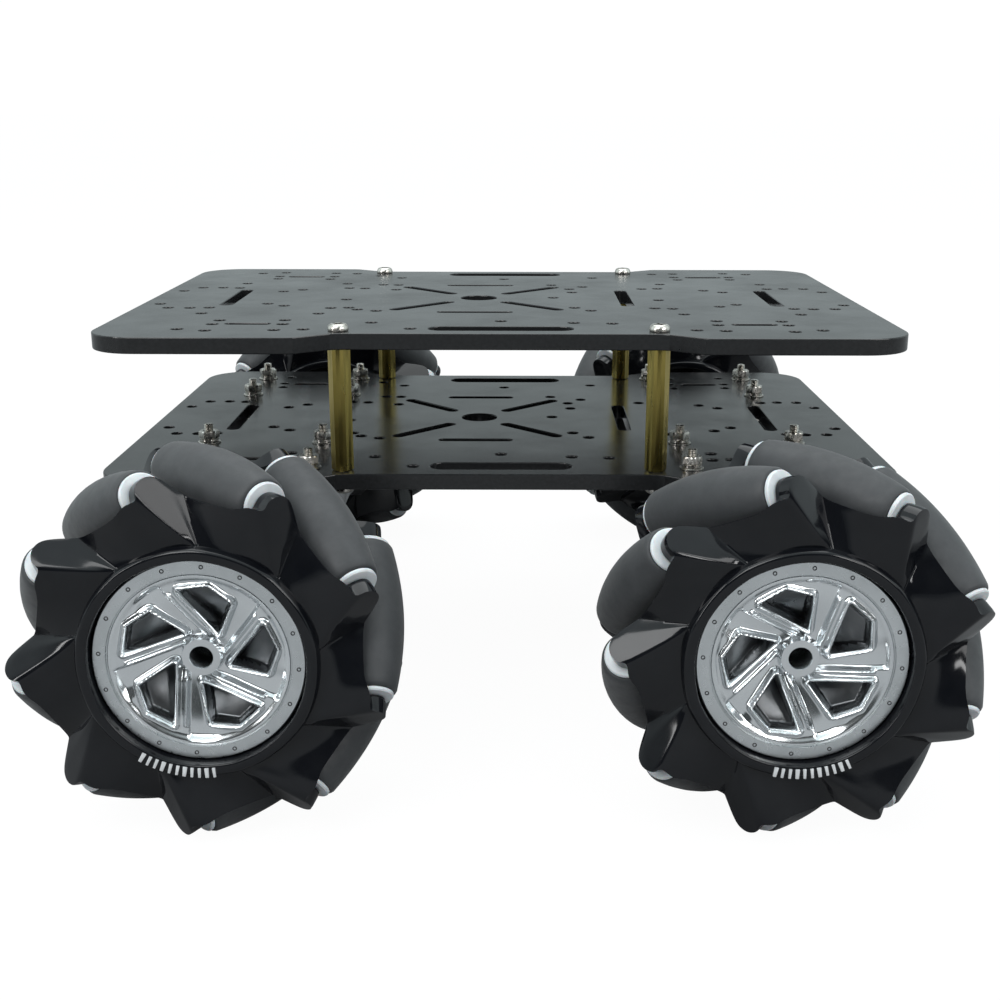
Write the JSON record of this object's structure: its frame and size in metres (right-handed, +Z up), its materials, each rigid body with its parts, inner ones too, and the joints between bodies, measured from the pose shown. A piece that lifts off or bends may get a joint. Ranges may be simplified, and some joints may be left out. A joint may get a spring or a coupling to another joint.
{
  "type": "mecanum wheel robot chassis",
  "caption": "Wheeled robot platform: hole-pattern deck plates stacked on hex standoffs, gear motors under them, and mecanum wheels with free-turning angled barrel rollers.",
  "frame": {"origin": "centre of the object's footprint, on the floor under the wheels", "axes": "+X the driving direction, +Y the robot's left side (the wheels' axle direction), +Z up"},
  "size_m": [0.2428, 0.291, 0.1173],
  "materials": {
    "upper_plate": "black satin-gloss sheet, laser cut, with bright machined-looking edges left black",
    "lower_plate": "black satin-gloss sheet, laser cut",
    "standoff": "turned hexagonal brass",
    "motor_bracket": "black anodised, fine matte",
    "motor": "plain zinc-plated can and gearbox",
    "wheel_core": "glossy injection-moulded black",
    "wheel_rim": "bright silver plating on moulded plastic",
    "roller": "matte moulded rubber"
  },
  "bodies": {
    "chassis": {"upper_plate": "upper_plate", "lower_plate": "lower_plate", "standoff_fr": "standoff", "standoff_rr": "standoff", "standoff_fl": "standoff", "standoff_rl": "standoff", "motor_bracket_fr": "motor_bracket", "motor_bracket_rr": "motor_bracket", "motor_bracket_fl": "motor_bracket", "motor_bracket_rl": "motor_bracket", "motor_fr": "motor", "motor_rr": "motor", "motor_fl": "motor", "motor_rl": "motor"},
    "wheel_fr": {"wheel_core_fr": "wheel_core", "wheel_rim_fr": "wheel_rim"},
    "roller_fr_1": {"roller_fr_1": "roller"},
    "roller_fr_2": {"roller_fr_2": "roller"},
    "roller_fr_3": {"roller_fr_3": "roller"},
    "roller_fr_4": {"roller_fr_4": "roller"},
    "roller_fr_5": {"roller_fr_5": "roller"},
    "roller_fr_6": {"roller_fr_6": "roller"},
    "roller_fr_7": {"roller_fr_7": "roller"},
    "roller_fr_8": {"roller_fr_8": "roller"},
    "roller_fr_9": {"roller_fr_9": "roller"},
    "wheel_rr": {"wheel_core_rr": "wheel_core", "wheel_rim_rr": "wheel_rim"},
    "roller_rr_1": {"roller_rr_1": "roller"},
    "roller_rr_2": {"roller_rr_2": "roller"},
    "roller_rr_3": {"roller_rr_3": "roller"},
    "roller_rr_4": {"roller_rr_4": "roller"},
    "roller_rr_5": {"roller_rr_5": "roller"},
    "roller_rr_6": {"roller_rr_6": "roller"},
    "roller_rr_7": {"roller_rr_7": "roller"},
    "roller_rr_8": {"roller_rr_8": "roller"},
    "roller_rr_9": {"roller_rr_9": "roller"},
    "wheel_fl": {"wheel_core_fl": "wheel_core", "wheel_rim_fl": "wheel_rim"},
    "roller_fl_1": {"roller_fl_1": "roller"},
    "roller_fl_2": {"roller_fl_2": "roller"},
    "roller_fl_3": {"roller_fl_3": "roller"},
    "roller_fl_4": {"roller_fl_4": "roller"},
    "roller_fl_5": {"roller_fl_5": "roller"},
    "roller_fl_6": {"roller_fl_6": "roller"},
    "roller_fl_7": {"roller_fl_7": "roller"},
    "roller_fl_8": {"roller_fl_8": "roller"},
    "roller_fl_9": {"roller_fl_9": "roller"},
    "wheel_rl": {"wheel_core_rl": "wheel_core", "wheel_rim_rl": "wheel_rim"},
    "roller_rl_1": {"roller_rl_1": "roller"},
    "roller_rl_2": {"roller_rl_2": "roller"},
    "roller_rl_3": {"roller_rl_3": "roller"},
    "roller_rl_4": {"roller_rl_4": "roller"},
    "roller_rl_5": {"roller_rl_5": "roller"},
    "roller_rl_6": {"roller_rl_6": "roller"},
    "roller_rl_7": {"roller_rl_7": "roller"},
    "roller_rl_8": {"roller_rl_8": "roller"},
    "roller_rl_9": {"roller_rl_9": "roller"}
  },
  "joints": [
    {"name": "drive_front_right", "type": "hinge", "parent": "chassis", "child": "wheel_fr", "pos_m": [0.073, -0.1245, 0.0485], "axis": [0, 1, 0], "continuous": true},
    {"name": "drive_rear_right", "type": "hinge", "parent": "chassis", "child": "wheel_rr", "pos_m": [-0.073, -0.1245, 0.0485], "axis": [0, 1, 0], "continuous": true},
    {"name": "drive_front_left", "type": "hinge", "parent": "chassis", "child": "wheel_fl", "pos_m": [0.073, 0.1245, 0.0485], "axis": [0, 1, 0], "continuous": true},
    {"name": "drive_rear_left", "type": "hinge", "parent": "chassis", "child": "wheel_rl", "pos_m": [-0.073, 0.1245, 0.0485], "axis": [0, 1, 0], "continuous": true},
    {"name": "roller_spin_fr_1", "type": "hinge", "parent": "wheel_fr", "child": "roller_fr_1", "pos_m": [0.10348, -0.1245, 0.07363], "axis": [0.4498, -0.7071, -0.5456], "continuous": true},
    {"name": "roller_spin_fr_2", "type": "hinge", "parent": "wheel_fr", "child": "roller_fr_2", "pos_m": [0.0802, -0.1245, 0.08734], "axis": [0.6953, -0.7071, -0.1289], "continuous": true},
    {"name": "roller_spin_fr_3", "type": "hinge", "parent": "wheel_fr", "child": "roller_fr_3", "pos_m": [0.05355, -0.1245, 0.08288], "axis": [0.6154, -0.7071, 0.3482], "continuous": true},
    {"name": "roller_spin_fr_4", "type": "hinge", "parent": "wheel_fr", "child": "roller_fr_4", "pos_m": [0.036, -0.1245, 0.06233], "axis": [0.2476, -0.7071, 0.6623], "continuous": true},
    {"name": "roller_spin_fr_5", "type": "hinge", "parent": "wheel_fr", "child": "roller_fr_5", "pos_m": [0.03577, -0.1245, 0.03531], "axis": [-0.236, -0.7071, 0.6665], "continuous": true},
    {"name": "roller_spin_fr_6", "type": "hinge", "parent": "wheel_fr", "child": "roller_fr_6", "pos_m": [0.05295, -0.1245, 0.01447], "axis": [-0.6093, -0.7071, 0.3589], "continuous": true},
    {"name": "roller_spin_fr_7", "type": "hinge", "parent": "wheel_fr", "child": "roller_fr_7", "pos_m": [0.07952, -0.1245, 0.00954], "axis": [-0.6974, -0.7071, -0.1167], "continuous": true},
    {"name": "roller_spin_fr_8", "type": "hinge", "parent": "wheel_fr", "child": "roller_fr_8", "pos_m": [0.10304, -0.1245, 0.02285], "axis": [-0.4592, -0.7071, -0.5377], "continuous": true},
    {"name": "roller_spin_fr_9", "type": "hinge", "parent": "wheel_fr", "child": "roller_fr_9", "pos_m": [0.1125, -0.1245, 0.04816], "axis": [-0.0062, -0.7071, -0.7071], "continuous": true},
    {"name": "roller_spin_rr_1", "type": "hinge", "parent": "wheel_rr", "child": "roller_rr_1", "pos_m": [-0.03372, -0.1245, 0.05263], "axis": [0.0739, -0.7071, -0.7032], "continuous": true},
    {"name": "roller_spin_rr_2", "type": "hinge", "parent": "wheel_rr", "child": "roller_rr_2", "pos_m": [-0.04556, -0.1245, 0.07691], "axis": [0.5087, -0.7071, -0.4912], "continuous": true},
    {"name": "roller_spin_rr_3", "type": "hinge", "parent": "wheel_rr", "child": "roller_rr_3", "pos_m": [-0.07024, -0.1245, 0.0879], "axis": [0.7054, -0.7071, -0.0493], "continuous": true},
    {"name": "roller_spin_rr_4", "type": "hinge", "parent": "wheel_rr", "child": "roller_rr_4", "pos_m": [-0.09622, -0.1245, 0.08046], "axis": [0.5721, -0.7071, 0.4156], "continuous": true},
    {"name": "roller_spin_rr_5", "type": "hinge", "parent": "wheel_rr", "child": "roller_rr_5", "pos_m": [-0.11133, -0.1245, 0.05806], "axis": [0.1711, -0.7071, 0.6861], "continuous": true},
    {"name": "roller_spin_rr_6", "type": "hinge", "parent": "wheel_rr", "child": "roller_rr_6", "pos_m": [-0.1085, -0.1245, 0.03118], "axis": [-0.31, -0.7071, 0.6355], "continuous": true},
    {"name": "roller_spin_rr_7", "type": "hinge", "parent": "wheel_rr", "child": "roller_rr_7", "pos_m": [-0.08907, -0.1245, 0.01242], "axis": [-0.646, -0.7071, 0.2876], "continuous": true},
    {"name": "roller_spin_rr_8", "type": "hinge", "parent": "wheel_rr", "child": "roller_rr_8", "pos_m": [-0.06211, -0.1245, 0.01053], "axis": [-0.6797, -0.7071, -0.1949], "continuous": true},
    {"name": "roller_spin_rr_9", "type": "hinge", "parent": "wheel_rr", "child": "roller_rr_9", "pos_m": [-0.04025, -0.1245, 0.02641], "axis": [-0.3954, -0.7071, -0.5862], "continuous": true},
    {"name": "roller_spin_fl_1", "type": "hinge", "parent": "wheel_fl", "child": "roller_fl_1", "pos_m": [0.03638, 0.1245, 0.0633], "axis": [0.2649, 0.7071, 0.6556], "continuous": true},
    {"name": "roller_spin_fl_2", "type": "hinge", "parent": "wheel_fl", "child": "roller_fl_2", "pos_m": [0.05446, 0.1245, 0.08338], "axis": [0.6243, 0.7071, 0.332], "continuous": true},
    {"name": "roller_spin_fl_3", "type": "hinge", "parent": "wheel_fl", "child": "roller_fl_3", "pos_m": [0.08121, 0.1245, 0.08714], "axis": [0.6917, 0.7071, -0.147], "continuous": true},
    {"name": "roller_spin_fl_4", "type": "hinge", "parent": "wheel_fl", "child": "roller_fl_4", "pos_m": [0.10413, 0.1245, 0.07282], "axis": [0.4353, 0.7071, -0.5572], "continuous": true},
    {"name": "roller_spin_fl_5", "type": "hinge", "parent": "wheel_fl", "child": "roller_fl_5", "pos_m": [0.11248, 0.1245, 0.04712], "axis": [-0.0247, 0.7071, -0.7067], "continuous": true},
    {"name": "roller_spin_fl_6", "type": "hinge", "parent": "wheel_fl", "child": "roller_fl_6", "pos_m": [0.10235, 0.1245, 0.02207], "axis": [-0.4731, 0.7071, -0.5255], "continuous": true},
    {"name": "roller_spin_fl_7", "type": "hinge", "parent": "wheel_fl", "child": "roller_fl_7", "pos_m": [0.0785, 0.1245, 0.00938], "axis": [-0.7002, 0.7071, -0.0984], "continuous": true},
    {"name": "roller_spin_fl_8", "type": "hinge", "parent": "wheel_fl", "child": "roller_fl_8", "pos_m": [0.05207, 0.1245, 0.015], "axis": [-0.5997, 0.7071, 0.3747], "continuous": true},
    {"name": "roller_spin_fl_9", "type": "hinge", "parent": "wheel_fl", "child": "roller_fl_9", "pos_m": [0.03543, 0.1245, 0.03629], "axis": [-0.2185, 0.7071, 0.6725], "continuous": true},
    {"name": "roller_spin_rl_1", "type": "hinge", "parent": "wheel_rl", "child": "roller_rl_1", "pos_m": [-0.11164, 0.1245, 0.05671], "axis": [0.147, 0.7071, 0.6917], "continuous": true},
    {"name": "roller_spin_rl_2", "type": "hinge", "parent": "wheel_rl", "child": "roller_rl_2", "pos_m": [-0.09732, 0.1245, 0.07963], "axis": [0.5572, 0.7071, 0.4353], "continuous": true},
    {"name": "roller_spin_rl_3", "type": "hinge", "parent": "wheel_rl", "child": "roller_rl_3", "pos_m": [-0.07162, 0.1245, 0.08798], "axis": [0.7067, 0.7071, -0.0247], "continuous": true},
    {"name": "roller_spin_rl_4", "type": "hinge", "parent": "wheel_rl", "child": "roller_rl_4", "pos_m": [-0.04657, 0.1245, 0.07785], "axis": [0.5255, 0.7071, -0.4731], "continuous": true},
    {"name": "roller_spin_rl_5", "type": "hinge", "parent": "wheel_rl", "child": "roller_rl_5", "pos_m": [-0.03388, 0.1245, 0.054], "axis": [0.0984, 0.7071, -0.7002], "continuous": true},
    {"name": "roller_spin_rl_6", "type": "hinge", "parent": "wheel_rl", "child": "roller_rl_6", "pos_m": [-0.0395, 0.1245, 0.02757], "axis": [-0.3747, 0.7071, -0.5997], "continuous": true},
    {"name": "roller_spin_rl_7", "type": "hinge", "parent": "wheel_rl", "child": "roller_rl_7", "pos_m": [-0.06079, 0.1245, 0.01093], "axis": [-0.6725, 0.7071, -0.2185], "continuous": true},
    {"name": "roller_spin_rl_8", "type": "hinge", "parent": "wheel_rl", "child": "roller_rl_8", "pos_m": [-0.0878, 0.1245, 0.01188], "axis": [-0.6556, 0.7071, 0.2649], "continuous": true},
    {"name": "roller_spin_rl_9", "type": "hinge", "parent": "wheel_rl", "child": "roller_rl_9", "pos_m": [-0.10788, 0.1245, 0.02996], "axis": [-0.332, 0.7071, 0.6243], "continuous": true}
  ]
}
